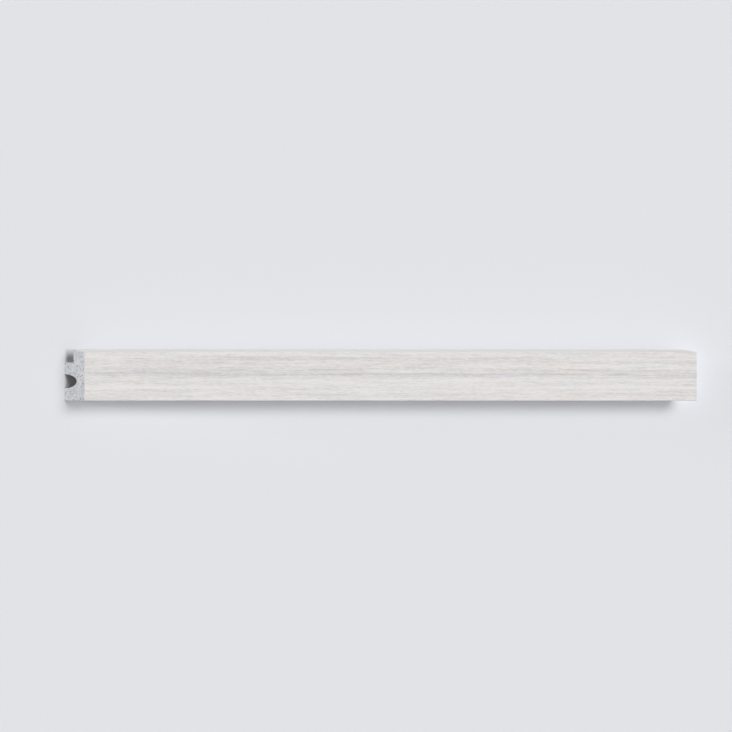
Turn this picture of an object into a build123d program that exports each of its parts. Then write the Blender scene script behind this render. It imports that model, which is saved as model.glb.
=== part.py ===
"""Wall moulding: one length of foamed trim with a decorated face, mitred at both ends.

The length lies on its back, wall face down. +X runs along the wall to the right, +Y runs up
the wall and +Z points out of the wall. The origin is the middle of the wall face's box, on
the wall plane. All sizes are in millimetres and angles in degrees.
"""

import os
from math import cos, radians, sin, tan

from build123d import *

# Section
HEIGHT = 45.0  # bottom face to the top of the lip
DEPTH = 20.0  # wall plane to the decorated face
TOP_FALL = 2.5  # drop of the lip's sloping top, from its wall side to the decorated face
ARRIS_RADIUS = 0.5  # the two long edges of the decorated face

# Rebate behind the lip, where a light strip lies
REBATE_WIDTH = 9.0  # out from the wall plane
REBATE_HEIGHT = 11.5  # down from the top of the lip

# Cable groove in the wall face, half an ellipse in section
GROOVE_CENTRE = 17.0  # above the bottom face
GROOVE_MOUTH = 12.5  # across its open side
GROOVE_DEPTH = 12.3  # into the moulding

# Glue grooves, one along the middle of each land of the wall face
GLUE_GROOVE_WIDTH = 1.0
GLUE_GROOVE_DEPTH = 1.0

# Length and end cuts
CUT_LENGTH = 536.0  # along the wall face, from corner to corner
INSIDE_MITRE = 45.0  # left end, for an inside corner
OUTSIDE_MITRE = 45.0  # right end, for an outside corner

# Places that follow from the sizes: x along the wall, y up the wall
overall_length = CUT_LENGTH + DEPTH * tan(radians(OUTSIDE_MITRE))
left_corner = -overall_length / 2
right_corner = left_corner + CUT_LENGTH
bottom = -HEIGHT / 2
lip_top = HEIGHT / 2
front_top = lip_top - TOP_FALL
rebate_floor = lip_top - REBATE_HEIGHT
groove_axis = bottom + GROOVE_CENTRE
groove_low = groove_axis - GROOVE_MOUTH / 2
groove_high = groove_axis + GROOVE_MOUTH / 2
land_middles = [(bottom + groove_low) / 2, (groove_high + rebate_floor) / 2]

# Mitre planes, each facing away from the moulding
inside_angle = radians(INSIDE_MITRE)
outside_angle = radians(OUTSIDE_MITRE)
inside_cut = Plane(
    origin=(left_corner, 0, 0),
    x_dir=(0, 1, 0),
    z_dir=(-cos(inside_angle), 0, sin(inside_angle)),
)
outside_cut = Plane(
    origin=(right_corner, 0, 0),
    x_dir=(0, 1, 0),
    z_dir=(cos(outside_angle), 0, -sin(outside_angle)),
)

with BuildPart() as moulding:
    # Section: the sketch's x runs up the wall, and its y runs out of the wall
    with BuildSketch(Plane.YZ.offset(-overall_length)) as section:
        with BuildLine():
            Polyline(
                (bottom, 0),
                (rebate_floor, 0),
                (rebate_floor, REBATE_WIDTH),
                (lip_top, REBATE_WIDTH),
                (front_top, DEPTH),
                (bottom, DEPTH),
                close=True,
            )
        make_face()
        fillet(section.vertices().group_by(Axis.Y)[-1], ARRIS_RADIUS)

        # Cable groove
        with Locations((groove_axis, 0)):
            Ellipse(GROOVE_MOUTH / 2, GROOVE_DEPTH, mode=Mode.SUBTRACT)

        # Glue grooves, with round bottoms
        with Locations([(middle, 0) for middle in land_middles]):
            SlotOverall(
                2 * GLUE_GROOVE_DEPTH,
                GLUE_GROOVE_WIDTH,
                rotation=90,
                mode=Mode.SUBTRACT,
            )

    # Stock that reaches past both ends, then the two mitre cuts
    extrude(amount=2 * overall_length)
    split(bisect_by=inside_cut, keep=Keep.BOTTOM)
    split(bisect_by=outside_cut, keep=Keep.BOTTOM)

moulding.part.label = "moulding"

os.makedirs("parts", exist_ok=True)
export_step(moulding.part, "parts/moulding.step")
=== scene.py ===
"""Dresses one length of wall moulding: a whitewashed oak film round a foamed core.

The moulding lies on its wall face, seen from straight above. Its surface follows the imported
solid and adds what is too fine for it: the grain pressed into the film, and the open cells of
the foam where it is cut. Lengths are in metres and angles in degrees.
"""

from math import atan2, cos, hypot, pi, radians, sin, tan
from typing import NamedTuple

import bpy
import numpy as np
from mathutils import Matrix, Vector, geometry


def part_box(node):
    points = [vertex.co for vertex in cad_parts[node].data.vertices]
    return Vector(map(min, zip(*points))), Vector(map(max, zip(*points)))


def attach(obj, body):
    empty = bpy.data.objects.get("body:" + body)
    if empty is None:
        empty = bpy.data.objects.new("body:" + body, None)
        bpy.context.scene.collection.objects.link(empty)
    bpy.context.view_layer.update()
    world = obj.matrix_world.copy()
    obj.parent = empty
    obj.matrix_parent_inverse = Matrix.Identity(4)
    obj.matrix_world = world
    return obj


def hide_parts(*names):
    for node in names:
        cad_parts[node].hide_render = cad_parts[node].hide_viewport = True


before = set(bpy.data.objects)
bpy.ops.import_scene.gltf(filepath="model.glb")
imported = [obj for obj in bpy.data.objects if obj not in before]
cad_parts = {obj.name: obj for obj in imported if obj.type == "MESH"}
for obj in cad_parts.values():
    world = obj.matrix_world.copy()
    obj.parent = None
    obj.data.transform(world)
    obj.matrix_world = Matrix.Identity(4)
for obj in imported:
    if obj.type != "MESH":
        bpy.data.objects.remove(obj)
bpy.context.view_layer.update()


class Pattern(NamedTuple):
    """Noise drawn out along the moulding."""

    length: float
    width: float
    seed: float
    detail: float = 1.0


def srgb(red, green, blue):
    """Linear colour of an sRGB colour given as 0 to 255."""

    def linear(value):
        share = value / 255
        return share / 12.92 if share <= 0.04045 else ((share + 0.055) / 1.055) ** 2.4

    return linear(red), linear(green), linear(blue), 1.0


# Section, as in the solid: y runs up the wall and z runs out of the wall
LOW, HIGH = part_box("moulding")
BOTTOM = LOW.y
LIP_TOP = HIGH.y
DEPTH = HIGH.z - LOW.z
TOP_FALL = 0.0025
ARRIS_RADIUS = 0.0005
REBATE_WIDTH = 0.009
REBATE_HEIGHT = 0.0115
GROOVE_CENTRE = 0.017
GROOVE_MOUTH = 0.0125
GROOVE_DEPTH = 0.0123
GLUE_GROOVE_WIDTH = 0.001
GLUE_GROOVE_DEPTH = 0.001
MITRE = radians(45)

# Places that follow from the section
FRONT_TOP = LIP_TOP - TOP_FALL
REBATE_FLOOR = LIP_TOP - REBATE_HEIGHT
GROOVE_AXIS = BOTTOM + GROOVE_CENTRE
GROOVE_LOW = GROOVE_AXIS - GROOVE_MOUTH / 2
GROOVE_HIGH = GROOVE_AXIS + GROOVE_MOUTH / 2
MITRE_SLOPE = tan(MITRE)  # along x, for each step out of the wall
LEFT_CORNER = LOW.x
RIGHT_CORNER = HIGH.x - DEPTH * MITRE_SLOPE

# Spacing of the surface's points
FILM_STEP = 0.00035
FOAM_STEP = 0.0008
ARRIS_STEP = 0.0001
GLUE_GROOVE_STEP = 0.0002
LENGTH_STEP = 0.0025
CUT_STEP = 0.0004
FEWEST_ARC_STEPS = 4
CORNER_TURN = 0.5  # sine of the turn from which a bend of the outline is a corner
EDGE_BAND = 0.001  # relief fades out this close to an edge
SHARP_ANGLE = radians(30)  # edges that turn by more aren't shaded smooth

# Finishes, in the order of the piece's material slots
FILM, FOAM, SKIN, LINING = 0, 1, 2, 3

# Grain of the film
FILM_SEED = 1767.0  # which print of the film
WANDER = Pattern(0.16, 0.012, FILM_SEED + 3.1)
WANDER_REACH = 0.0035  # how far the grain wanders across the film
PORES = Pattern(0.022, 0.00055, FILM_SEED + 7.7)
PORE_RANGE = (0.58, 0.76)  # noise where a pore starts and where it is fully open
PORE_DEPTH = 0.00005
PORE_TONE = 0.34  # loss of tone
PORE_ROUGHNESS = 0.15  # gain of roughness
FIBRES = Pattern(0.006, 0.0003, 5.9, detail=2.0)
FIBRE_BUMP = (0.15, 0.0001)  # strength and distance

# Tone of the film from 0, dark, to 1, light
FILM_HEIGHT = FRONT_TOP - BOTTOM + hypot(TOP_FALL, DEPTH - REBATE_WIDTH)  # face and lip's slope
FILM_BANDS_AND_PAINTED_TOP = (  # height above the face's bottom edge, tone, rosy share and cool share
    (0.0000, 0.68, 0.55, 0.0),
    (0.0085, 0.64, 0.55, 0.0),
    (0.0115, 0.75, 0.35, 0.0),
    (0.0185, 0.73, 0.30, 0.1),
    (0.0208, 0.61, 0.30, 0.5),
    (0.0230, 0.57, 0.30, 0.8),
    (0.0268, 0.60, 0.40, 0.5),
    (0.0298, 0.68, 0.55, 0.1),
    (0.0330, 0.60, 0.60, 0.0),
    (0.0370, 0.62, 0.60, 0.0),
    (0.0425, 0.66, 0.50, 0.0),
    # from here on the lip's sloping top: its tone of 1.00 is painted light, which makes the slope as
    # light as the face though it gets less light
    (0.0450, 1.00, 0.40, 0.2),
)
HEART_LINES = (  # height, half width and loss of tone
    (0.0234, 0.0013, 0.22),
    (0.0205, 0.0008, 0.20),
    (0.0268, 0.0009, 0.20),
)
HEART_STRETCHES = Pattern(0.12, 0.02, FILM_SEED + 20.5, detail=4.0)
HEART_RANGE = (0.4, 0.65)  # noise where a heart line starts and where it is fully there
FILM_STREAKS = (  # length, width and weight, from the whole length down to single flecks
    (0.3000, 0.0060, 0.46),
    (0.2000, 0.0032, 0.54),
    (0.1000, 0.0021, 0.60),
    (0.0350, 0.0014, 0.55),
    (0.0110, 0.0009, 0.46),
    (0.0040, 0.0007, 1.00),
)
STREAK_SEED = FILM_SEED + 0.5
WASH_TONE = 0.89  # the whitewash evens out the lightest streaks below this tone
WASH_SOFTNESS = 0.30

# Colours of the film: dark and light
FILM_PLAIN = srgb(198, 196, 193.5), srgb(236, 234.5, 232.5)
FILM_ROSY = srgb(199.5, 194, 191.5), srgb(237, 233, 231)
FILM_COOL = srgb(195, 192.5, 194), srgb(234, 232.5, 234)
ROSY_DRIFT = Pattern(0.09, 0.008, 30.3)
ROSY_WEIGHT = 3.0
ROSY_RANGE = (0.1, 0.9)
COOL_PATCHES = Pattern(0.05, 0.006, 199.9)
COOL_RANGE = (0.45, 0.6)
FILM_ROUGHNESS = 0.75
FILM_SPECULAR = 0.2

# Cut foam
FOAM_LIGHT = srgb(238, 239, 242)
# the dark colour is painted shade in the open cells, darker the deeper a cell is sunk, and also the
# darker end of the foam's own mottle
FOAM_DARK = srgb(153, 155, 160)
CELLS = ((0.0017, 0.6), (0.0008, 0.4))  # spacing, and the share of the cells that is open
CELL_RANGE = (0.5, 0.2)  # from the rim to the hollow, in spacings from the cell's middle
CELL_DEPTH = 0.0003
MOTTLE_SIZE = 0.003
MOTTLE_DETAIL = 2.0
MOTTLE_RANGE = (0.3, 0.7)
MOTTLE_SHADE = 0.25
MOTTLE_BUMP = (0.3, 0.0002)  # strength and distance
FOAM_ROUGHNESS = 0.9
FOAM_SPECULAR = 0.2

# Skin of the extruded foam, on the wall face and in the rebate
SKIN_LIGHT = srgb(230, 231, 234)
SKIN_DARK = srgb(202, 204, 208)
SKIN_SHADE = 0.5  # between light and dark
SKIN_LINES = (  # length, width and weight
    (0.4000, 0.0030, 0.9),
    (0.2500, 0.0009, 0.9),
    (0.0800, 0.0004, 0.7),
)
SKIN_SEED = 30.5
DIMPLES = Pattern(0.0022, 0.0016, 41.3, detail=2.0)
DIMPLE_RANGE = (0.52, 0.72)
DIMPLE_SHADE = 0.35
SKIN_BUMP = (0.2, -0.0001)  # strength and distance: what is dark is sunk
SKIN_ROUGHNESS = 0.6
SKIN_SPECULAR = 0.3

# Lining of the cable groove
LINING_DARK = srgb(108, 82, 71)
LINING_LIGHT = srgb(132, 102, 90)
LINING_PATCH = 0.004
LINING_DETAIL = 3.0
LINING_RANGE = (0.3, 0.7)
LINING_ROUGHNESS = 0.85

# Floor, backdrop and light
STUDIO_COLOUR = srgb(227, 228, 232)
FLOOR_REACH = 8.0
FLOOR_ROUGHNESS = 0.9
BACKDROP_LIGHT = 1.0
WORLD_LIGHT = 0.122
LAMP_DISTANCE = 3.0
LAMPS = (  # name, azimuth from +X towards +Y, elevation, spread and share of the light
    ("key", 26.3, 43.3, 26.0, 0.743),
    ("run", 0.0, 47.4, 7.5, 0.378),
    ("rake", -45.0, 35.0, 40.0, 0.1),
    ("fill", 172.0, 3.0, 8.0, 0.66),
)

# Framing: pixels of the photograph, which is square
PHOTO_SIZE = 732
LEFT_PIXEL = 64.6  # left end, on the wall plane
RIGHT_PIXEL = 696.8  # right end, on the decorated face
TOP_PIXEL = 349.5  # wall side of the lip's top
LENS = 113.0  # millimetres
SENSOR = 36.0  # millimetres


# Outline of the section


def straight(start, end, step):
    """Points from start up to, but not including, end."""
    count = max(1, round(hypot(end[0] - start[0], end[1] - start[1]) / step))
    shares = np.arange(count) / count
    return [(start[0] + (end[0] - start[0]) * t, start[1] + (end[1] - start[1]) * t) for t in shares]


def arc(centre, radii, first, last, step):
    """Points on an elliptic arc, without its last point."""
    count = max(FEWEST_ARC_STEPS, round(max(radii) * abs(last - first) / step))
    angles = first + (last - first) * np.arange(count) / count
    return [(centre[0] + radii[0] * cos(a), centre[1] + radii[1] * sin(a)) for a in angles]


def arris(corner, before, after):
    """Points that round a corner between two others, without the last, and that last point."""
    to_before = (Vector(before) - Vector(corner)).normalized()
    to_after = (Vector(after) - Vector(corner)).normalized()
    half = to_before.angle(to_after) / 2
    centre = Vector(corner) + (to_before + to_after).normalized() * ARRIS_RADIUS / sin(half)
    reach = ARRIS_RADIUS / tan(half)
    first = Vector(corner) + to_before * reach - centre
    last = Vector(corner) + to_after * reach - centre
    start = atan2(first.y, first.x)
    end = start + (atan2(last.y, last.x) - start + pi) % (2 * pi) - pi
    points = arc(centre, (ARRIS_RADIUS, ARRIS_RADIUS), start, end, ARRIS_STEP)
    return points, (centre.x + ARRIS_RADIUS * cos(end), centre.y + ARRIS_RADIUS * sin(end))


def land(high, low):
    """One land of the wall face, from its high edge to its low one, with its glue groove."""
    middle = (high + low) / 2
    half = GLUE_GROOVE_WIDTH / 2
    straight_depth = GLUE_GROOVE_DEPTH - half
    points = straight((high, 0), (middle + half, 0), FOAM_STEP)
    points += straight((middle + half, 0), (middle + half, straight_depth), GLUE_GROOVE_STEP)
    points += arc((middle, straight_depth), (half, half), 0, pi, GLUE_GROOVE_STEP)
    points += straight((middle - half, straight_depth), (middle - half, 0), GLUE_GROOVE_STEP)
    points += straight((middle - half, 0), (low, 0), FOAM_STEP)
    return points


def outline():
    """Points round the section, and the finish of the strip that starts at each one."""
    bottom_rear = (BOTTOM, 0)
    bottom_front = (BOTTOM, DEPTH)
    top_front = (FRONT_TOP, DEPTH)
    lip_rear = (LIP_TOP, REBATE_WIDTH)
    rebate_corner = (REBATE_FLOOR, REBATE_WIDTH)
    low_arris, low_end = arris(bottom_front, bottom_rear, top_front)
    high_arris, high_end = arris(top_front, bottom_front, lip_rear)

    film = straight(bottom_rear, low_arris[0], FILM_STEP) + low_arris
    film += straight(low_end, high_arris[0], FILM_STEP) + high_arris
    film += straight(high_end, lip_rear, FILM_STEP)
    upper = straight(lip_rear, rebate_corner, FOAM_STEP)
    upper += straight(rebate_corner, (REBATE_FLOOR, 0), FOAM_STEP)
    upper += land(REBATE_FLOOR, GROOVE_HIGH)
    groove = arc((GROOVE_AXIS, 0), (GROOVE_MOUTH / 2, GROOVE_DEPTH), 0, pi, FOAM_STEP)
    lower = land(GROOVE_LOW, BOTTOM)

    points = np.array(film + upper + groove + lower)
    finishes = [FILM] * len(film) + [SKIN] * len(upper) + [LINING] * len(groove) + [SKIN] * len(lower)
    return points, finishes


# Mitre cut


def distance_to_loop(points, loop):
    """Distance from each point to the nearest point of a closed polyline."""
    start = loop[None, :, :]
    side = np.roll(loop, -1, axis=0)[None, :, :] - start
    offset = points[:, None, :] - start
    share = np.clip((offset * side).sum(2) / (side * side).sum(2), 0, 1)
    gap = offset - share[:, :, None] * side
    return np.sqrt((gap * gap).sum(2)).min(1)


def inside_loop(points, loop):
    """Whether each point lies inside a closed polyline."""
    y, z = points[:, :1], points[:, 1:]
    y0, z0 = loop[None, :, 0], loop[None, :, 1]
    y1, z1 = np.roll(y0, -1, axis=1), np.roll(z0, -1, axis=1)
    spans = (z0 > z) != (z1 > z)
    rise = np.where(z1 == z0, 1.0, z1 - z0)
    crossing = y0 + (z - z0) / rise * (y1 - y0)
    return ((spans & (y < crossing)).sum(1) % 2) == 1


def cut_face(loop):
    """Points inside the mitre cut, their distance to its edge, and the cut's triangles.

    The cut slants, so it is worked out at its true height and put back into the section.
    """
    stretch = np.array((1.0, 1.0 / cos(MITRE)))
    true_loop = loop * stretch
    low, high = true_loop.min(0), true_loop.max(0)

    # Every other row is shifted by half a step, so that the triangles come out even
    rows = np.arange(low[1], high[1], CUT_STEP * sin(radians(60)))
    columns = np.arange(low[0], high[0], CUT_STEP)
    grid = np.array([(y + (i % 2) * CUT_STEP / 2, z) for i, z in enumerate(rows) for y in columns])
    grid = grid[inside_loop(grid, true_loop)]
    margin = distance_to_loop(grid, true_loop)
    clear = margin > CUT_STEP / 2

    edge = len(loop)
    vertices = [Vector(p) for p in np.vstack([true_loop, grid[clear]])]
    sides = [(i, (i + 1) % edge) for i in range(edge)]
    inside_only, merge_distance = 1, 1e-9
    found = geometry.delaunay_2d_cdt(vertices, sides, [list(range(edge))], inside_only, merge_distance)
    origin = [ids[0] for ids in found[3]]
    triangles = [tuple(origin[v] for v in face) for face in found[2]]
    return grid[clear] / stretch, margin[clear], triangles


# Surface of the moulding


def slanted(corner, section):
    """Points of the section that starts at a corner, moved along x as the mitres slant."""
    return np.column_stack([corner + section[:, 1] * MITRE_SLOPE, section])


def side_faces(count, stations):
    """Faces between the rings of points along the length."""
    faces = []
    for ring in range(0, (stations - 1) * count, count):
        for i in range(count):
            k = (i + 1) % count
            faces.append((ring + i, ring + count + i, ring + count + k, ring + k))
    return faces


def girth_and_margins(loop, along):
    """The way round the section to each point, and each ring point's distance to an edge."""
    sides = np.roll(loop, -1, axis=0) - loop
    before = np.roll(sides, 1, axis=0)
    lengths = np.hypot(*sides.T)
    girth = np.concatenate([[0.0], np.cumsum(lengths)[:-1]])
    turn = np.abs(sides[:, 0] * before[:, 1] - sides[:, 1] * before[:, 0])
    corners = girth[turn > CORNER_TURN * lengths * np.roll(lengths, 1)]
    to_corner = np.abs(girth[:, None] - corners[None, :]).min(1)
    to_cut = np.minimum(along - along[0], along[-1] - along)
    return girth, np.minimum(to_corner[None, :], to_cut[:, None]).reshape(-1)


def moulding_mesh():
    """The moulding's closed surface, with the coordinates that its materials follow."""
    loop, finishes = outline()
    inner, cut_margins, triangles = cut_face(loop)
    count = len(loop)
    stations = round((RIGHT_CORNER - LEFT_CORNER) / LENGTH_STEP) + 1
    along = np.linspace(LEFT_CORNER, RIGHT_CORNER, stations)
    rings = np.vstack([slanted(x, loop) for x in along])
    cuts = np.vstack([slanted(LEFT_CORNER, inner), slanted(RIGHT_CORNER, inner)])

    # Faces: the sides, then the left cut and the right cut, which face opposite ways
    faces = side_faces(count, stations)
    last_ring = (stations - 1) * count
    for ring, first_inner, order in ((0, len(rings), -1), (last_ring, len(rings) + len(inner), 1)):
        for triangle in triangles:
            face = [ring + v if v < count else first_inner + v - count for v in triangle]
            faces.append(tuple(face[::order]))
    slots = finishes * (stations - 1) + [FOAM] * (2 * len(triangles))

    # Film coordinates, along and up from the face's bottom edge, and where relief may go
    girth, margins = girth_and_margins(loop, along)
    unrolled = np.column_stack([rings[:, 0], np.tile(girth - DEPTH, stations), np.zeros(len(rings))])
    unrolled = np.vstack([unrolled, cuts])
    on_film = np.tile(np.array(finishes) == FILM, stations)
    reliefs = {
        "grain_relief": np.concatenate([margins * on_film, np.zeros(len(cuts))]),
        "cell_relief": np.concatenate([np.zeros(len(rings)), cut_margins, cut_margins]),
    }

    mesh = bpy.data.meshes.new("wall_moulding")
    mesh.from_pydata(np.vstack([rings, cuts]).tolist(), [], faces)
    mesh.polygons.foreach_set("material_index", slots)
    mesh.polygons.foreach_set("use_smooth", np.ones(len(faces), bool))
    mesh.attributes.new("unrolled", "FLOAT_VECTOR", "POINT").data.foreach_set(
        "vector", unrolled.astype(np.float32).ravel()
    )
    for name, distances in reliefs.items():
        mesh.attributes.new(name, "FLOAT", "POINT").data.foreach_set(
            "value", np.clip(distances / EDGE_BAND, 0, 1).astype(np.float32)
        )
    mesh.set_sharp_from_angle(angle=SHARP_ANGLE)
    mesh.validate()
    return mesh


# Fields that colour and relief share


class Nodes:
    """Adds nodes to a shader tree or a geometry tree and joins them."""

    def __init__(self, tree):
        self.tree = tree

    def set(self, socket, value):
        """Joins a socket to another node's output, or gives it a plain value."""
        if isinstance(value, bpy.types.NodeSocket):
            self.tree.links.new(value, socket)
        else:
            socket.default_value = value

    def add(self, kind, inputs=(), **settings):
        """A new node with its settings and inputs."""
        node = self.tree.nodes.new(kind)
        for name, value in settings.items():
            setattr(node, name, value)
        for socket, value in dict(inputs).items():
            self.set(node.inputs[socket], value)
        return node

    def math(self, operation, *values):
        """The result of one operation on numbers."""
        return self.add("ShaderNodeMath", enumerate(values), operation=operation).outputs[0]

    def ramp(self, value, low, high):
        """0 at low, 1 at high, with soft ends."""
        inputs = {"Value": value, "From Min": low, "From Max": high}
        return self.add("ShaderNodeMapRange", inputs, interpolation_type="SMOOTHSTEP").outputs[0]

    def mix(self, share, first, second):
        """A colour between two others."""
        node = self.add("ShaderNodeMix", data_type="RGBA")
        for name, value in (("Factor", share), ("A", first), ("B", second)):
            self.set([s for s in node.inputs if s.name == name and s.enabled][0], value)
        return [s for s in node.outputs if s.enabled][0]

    def bump(self, height, strength, distance):
        """The surface's normal, tilted by a height."""
        inputs = {"Height": height, "Strength": strength, "Distance": distance}
        return self.add("ShaderNodeBump", inputs).outputs[0]

    def blotches(self, position, size, detail):
        """Noise from 0 to 1 that is as long as it is wide."""
        inputs = {"Vector": position, "Scale": 1 / size, "Detail": detail}
        return self.add("ShaderNodeTexNoise", inputs).outputs[0]

    def streaks(self, along, across, pattern, draw=0):
        """Noise from 0 to 1, drawn out along the moulding. Another draw has other streaks."""
        x = self.math("DIVIDE", along, pattern.length)
        y = self.math("DIVIDE", across, pattern.width)
        inputs = {"X": x, "Y": y, "Z": pattern.seed + draw}
        place = self.add("ShaderNodeCombineXYZ", inputs).outputs[0]
        inputs = {"Vector": place, "Scale": 1.0, "Detail": pattern.detail}
        return self.add("ShaderNodeTexNoise", inputs).outputs[0]

    def swing(self, along, across, pattern):
        """Streaks about zero, from -0.5 to 0.5."""
        return self.math("SUBTRACT", self.streaks(along, across, pattern), 0.5)

    def add_streaks(self, level, along, across, rows, seed):
        """A level with streaks laid over it, from rows of length, width and weight."""
        for draw, (length, width, weight) in enumerate(rows):
            streak = self.swing(along, across, Pattern(length, width, seed + draw))
            level = self.math("MULTIPLY_ADD", streak, weight, level)
        return level


def grain_lines(nodes, unrolled):
    """Along and across the film, the way the grain runs, and its open pores from 0 to 1."""
    place = nodes.add("ShaderNodeSeparateXYZ", {0: unrolled}).outputs
    along, across = place["X"], place["Y"]
    bent = nodes.math("MULTIPLY_ADD", nodes.swing(along, across, WANDER), WANDER_REACH, across)
    pores = nodes.ramp(nodes.streaks(along, bent, PORES), *PORE_RANGE)
    return along, bent, pores


def foam_cells(nodes, position):
    """Open cells of cut foam: 0 on the walls between them, up to 1 in the deepest."""
    layers = []
    for spacing, share in CELLS:
        found = nodes.add("ShaderNodeTexVoronoi", {"Vector": position, "Scale": 1 / spacing}).outputs
        hollow = nodes.ramp(found["Distance"], *CELL_RANGE)
        chance = nodes.add("ShaderNodeSeparateXYZ", {0: found["Color"]}).outputs[0]
        layers.append(nodes.math("MULTIPLY", hollow, nodes.ramp(chance, 1 - share, 1.0)))
    return nodes.math("MAXIMUM", *layers)


# Relief


def press_relief(target):
    """Sinks the grain into the film and the open cells into the cuts, and keeps the result."""
    tree = bpy.data.node_groups.new("relief", "GeometryNodeTree")
    tree.interface.new_socket("Geometry", in_out="INPUT", socket_type="NodeSocketGeometry")
    tree.interface.new_socket("Geometry", in_out="OUTPUT", socket_type="NodeSocketGeometry")
    nodes = Nodes(tree)

    def attribute(name, kind):
        return nodes.add("GeometryNodeInputNamedAttribute", {"Name": name}, data_type=kind).outputs[0]

    pores = grain_lines(nodes, attribute("unrolled", "FLOAT_VECTOR"))[2]
    cells = foam_cells(nodes, nodes.add("GeometryNodeInputPosition").outputs[0])
    grain = nodes.math("MULTIPLY", pores, attribute("grain_relief", "FLOAT"))
    pits = nodes.math("MULTIPLY", cells, attribute("cell_relief", "FLOAT"))
    depth = nodes.math("MULTIPLY_ADD", grain, -PORE_DEPTH, nodes.math("MULTIPLY", pits, -CELL_DEPTH))
    normal = nodes.add("GeometryNodeInputNormal").outputs[0]
    offset = nodes.add("ShaderNodeVectorMath", {0: normal, "Scale": depth}, operation="SCALE").outputs[0]
    surface = nodes.add("NodeGroupInput").outputs[0]
    moved = nodes.add("GeometryNodeSetPosition", {"Geometry": surface, "Offset": offset}).outputs[0]
    nodes.add("NodeGroupOutput", {0: moved})

    modifier = target.modifiers.new("relief", "NODES")
    modifier.node_group = tree
    depsgraph = bpy.context.evaluated_depsgraph_get()
    pressed = bpy.data.meshes.new_from_object(
        target.evaluated_get(depsgraph), preserve_all_data_layers=True, depsgraph=depsgraph
    )
    target.modifiers.remove(modifier)
    target.data = pressed


# Materials


def material(name, roughness):
    """A new material, its nodes and its shader's inputs."""
    made = bpy.data.materials.new(name)
    made.use_nodes = True
    inputs = made.node_tree.nodes["Principled BSDF"].inputs
    inputs["Roughness"].default_value = roughness
    return made, Nodes(made.node_tree), inputs


def unrolled_place(nodes):
    """The surface's coordinates along and round the moulding."""
    return nodes.add("ShaderNodeAttribute", attribute_name="unrolled").outputs["Vector"]


def film_bands_and_painted_top(nodes, height):
    """Tone, rosy share and cool share of the broad bands across the film, with painted light on the
    lip's sloping top.
    """
    bands = nodes.add("ShaderNodeValToRGB", {0: nodes.math("DIVIDE", height, FILM_HEIGHT)})
    ramp = bands.color_ramp
    ramp.interpolation = "EASE"
    while len(ramp.elements) < len(FILM_BANDS_AND_PAINTED_TOP):
        ramp.elements.new(1.0)
    for stop, (band_height, *shares) in zip(ramp.elements, FILM_BANDS_AND_PAINTED_TOP):
        stop.position = band_height / FILM_HEIGHT
        stop.color = (*shares, 1.0)
    return nodes.add("ShaderNodeSeparateColor", {0: bands.outputs[0]}).outputs


def oak_film():
    """Whitewashed oak: fine straight streaks in a few broad bands, with a shift of tint."""
    made, nodes, inputs = material("whitewashed_oak_film", FILM_ROUGHNESS)
    along, bent, pores = grain_lines(nodes, unrolled_place(nodes))
    tone, rosy, cool = film_bands_and_painted_top(nodes, bent)

    # Dark lines of the heart, which come and go along the length
    for draw, (height, half_width, loss) in enumerate(HEART_LINES):
        distance = nodes.math("ABSOLUTE", nodes.math("SUBTRACT", bent, height))
        presence = nodes.ramp(nodes.streaks(along, bent, HEART_STRETCHES, draw), *HEART_RANGE)
        line = nodes.math("MULTIPLY", nodes.ramp(distance, half_width, 0.0), presence)
        tone = nodes.math("MULTIPLY_ADD", line, -loss, tone)

    # Streaks and pores under the whitewash
    tone = nodes.add_streaks(tone, along, bent, FILM_STREAKS, STREAK_SEED)
    tone = nodes.math("MULTIPLY_ADD", pores, -PORE_TONE, tone)
    tone = nodes.math("SMOOTH_MIN", tone, WASH_TONE, WASH_SOFTNESS)

    # Tints, which drift along the length: the cool one comes in patches
    drift = nodes.swing(along, bent, ROSY_DRIFT)
    rosy = nodes.ramp(nodes.math("MULTIPLY_ADD", drift, ROSY_WEIGHT, rosy), *ROSY_RANGE)
    patches = nodes.ramp(nodes.streaks(along, bent, COOL_PATCHES), *COOL_RANGE)
    cool = nodes.math("MULTIPLY", cool, patches)
    colour = nodes.mix(tone, *FILM_PLAIN)
    colour = nodes.mix(rosy, colour, nodes.mix(tone, *FILM_ROSY))
    colour = nodes.mix(cool, colour, nodes.mix(tone, *FILM_COOL))

    nodes.set(inputs["Base Color"], colour)
    nodes.set(inputs["Roughness"], nodes.math("MULTIPLY_ADD", pores, PORE_ROUGHNESS, FILM_ROUGHNESS))
    nodes.set(inputs["Normal"], nodes.bump(nodes.streaks(along, bent, FIBRES), *FIBRE_BUMP))
    inputs["Specular IOR Level"].default_value = FILM_SPECULAR
    return made


def cut_foam():
    """Pale hard foam: near-white walls, with painted shade that greys the open cells and an uneven
    mottle.
    """
    made, nodes, inputs = material("foam", FOAM_ROUGHNESS)
    position = nodes.add("ShaderNodeTexCoord").outputs["Object"]
    cells = foam_cells(nodes, position)
    mottle = nodes.blotches(position, MOTTLE_SIZE, MOTTLE_DETAIL)
    # Painted shade: the open cells darken the colour as deeply as they are sunk; the mottle is the
    # foam's own uneven tone
    shade = nodes.math("MULTIPLY_ADD", nodes.ramp(mottle, *MOTTLE_RANGE), MOTTLE_SHADE, cells)
    nodes.set(inputs["Base Color"], nodes.mix(shade, FOAM_LIGHT, FOAM_DARK))
    nodes.set(inputs["Normal"], nodes.bump(mottle, *MOTTLE_BUMP))
    inputs["Specular IOR Level"].default_value = FOAM_SPECULAR
    return made


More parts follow.
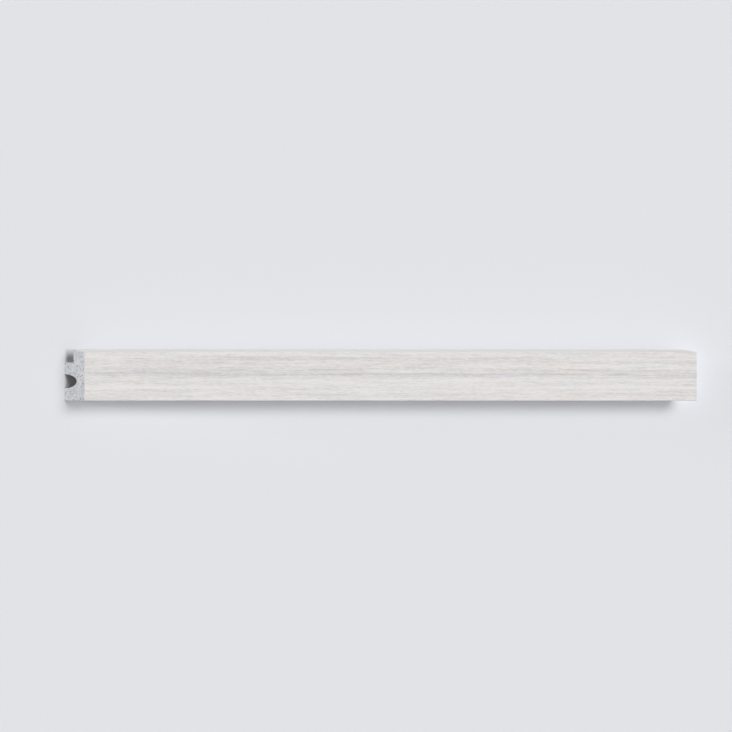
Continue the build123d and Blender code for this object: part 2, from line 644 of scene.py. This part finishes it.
def foam_skin():
    """Closed skin of the extruded foam: pale, with fine lines drawn along the length."""
    made, nodes, inputs = material("foam_skin", SKIN_ROUGHNESS)
    place = nodes.add("ShaderNodeSeparateXYZ", {0: unrolled_place(nodes)}).outputs
    along, across = place["X"], place["Y"]
    drawn = nodes.add_streaks(SKIN_SHADE, along, across, SKIN_LINES, SKIN_SEED)
    dimples = nodes.ramp(nodes.streaks(along, across, DIMPLES), *DIMPLE_RANGE)
    shade = nodes.math("MULTIPLY_ADD", dimples, DIMPLE_SHADE, drawn)
    nodes.set(inputs["Base Color"], nodes.mix(shade, SKIN_LIGHT, SKIN_DARK))
    nodes.set(inputs["Normal"], nodes.bump(shade, *SKIN_BUMP))
    inputs["Specular IOR Level"].default_value = SKIN_SPECULAR
    return made


def groove_lining():
    """Dark brown, dull and slightly uneven."""
    made, nodes, inputs = material("groove_lining", LINING_ROUGHNESS)
    position = nodes.add("ShaderNodeTexCoord").outputs["Object"]
    patches = nodes.ramp(nodes.blotches(position, LINING_PATCH, LINING_DETAIL), *LINING_RANGE)
    nodes.set(inputs["Base Color"], nodes.mix(patches, LINING_DARK, LINING_LIGHT))
    return made


# Floor, light and camera


def pale_floor():
    """A wide plain floor under the moulding."""
    mesh = bpy.data.meshes.new("floor")
    corners = [(x * FLOOR_REACH, y * FLOOR_REACH, 0) for x, y in ((-1, -1), (1, -1), (1, 1), (-1, 1))]
    mesh.from_pydata(corners, [], [(0, 1, 2, 3)])
    floor = bpy.data.objects.new("floor", mesh)
    bpy.context.scene.collection.objects.link(floor)
    made, _, inputs = material("floor", FLOOR_ROUGHNESS)
    inputs["Base Color"].default_value = STUDIO_COLOUR
    mesh.materials.append(made)


def sun(name, azimuth, elevation, spread, share):
    """A soft distant lamp. Share 1 from straight above renders a level colour as it is written."""
    lamp = bpy.data.lights.new(name, "SUN")
    lamp.angle = radians(spread)
    lamp.energy = share * pi
    stand = bpy.data.objects.new(name, lamp)
    bpy.context.scene.collection.objects.link(stand)
    a, e = radians(azimuth), radians(elevation)
    towards = Vector((cos(e) * cos(a), cos(e) * sin(a), sin(e)))
    stand.location = towards * LAMP_DISTANCE
    stand.rotation_mode = "QUATERNION"
    stand.rotation_quaternion = towards.to_track_quat("Z", "Y")


def studio_world():
    """Weak even light, and a pale backdrop for what the camera, gloss and glass see."""
    made = bpy.data.worlds.new("studio")
    made.use_nodes = True
    nodes = Nodes(made.node_tree)
    path = nodes.add("ShaderNodeLightPath").outputs
    seen = nodes.math("MAXIMUM", path["Is Camera Ray"], path["Is Glossy Ray"])
    seen = nodes.math("MAXIMUM", seen, path["Is Transmission Ray"])
    levels = {"Value": seen, "To Min": WORLD_LIGHT, "To Max": BACKDROP_LIGHT}
    background = made.node_tree.nodes["Background"].inputs
    background["Color"].default_value = STUDIO_COLOUR
    nodes.set(background["Strength"], nodes.add("ShaderNodeMapRange", levels).outputs["Result"])
    bpy.context.scene.world = made


def camera():
    """Straight above, placed so that the ends and the lip's top fall on their pixels."""
    focal = LENS / SENSOR * PHOTO_SIZE
    middle = PHOTO_SIZE / 2
    across = RIGHT_PIXEL - LEFT_PIXEL
    height = (focal * (HIGH.x - LOW.x) + (RIGHT_PIXEL - middle) * DEPTH) / across
    x = LOW.x + (middle - LEFT_PIXEL) * height / focal
    y = LIP_TOP - (middle - TOP_PIXEL) * (height - REBATE_WIDTH) / focal
    lens = bpy.data.cameras.new("camera")
    lens.lens = LENS
    lens.sensor_width = SENSOR
    stand = bpy.data.objects.new("camera", lens)
    stand.location = (x, y, height)
    bpy.context.scene.collection.objects.link(stand)
    bpy.context.scene.camera = stand


# The moulding, and the studio round it
piece = bpy.data.objects.new("wall_moulding", moulding_mesh())
bpy.context.scene.collection.objects.link(piece)
press_relief(piece)
for finish in (oak_film(), cut_foam(), foam_skin(), groove_lining()):
    piece.data.materials.append(finish)

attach(piece, "root")
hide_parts("moulding")

pale_floor()
for lamp in LAMPS:
    sun(*lamp)
studio_world()
camera()
bpy.context.scene.view_settings.view_transform = "Standard"
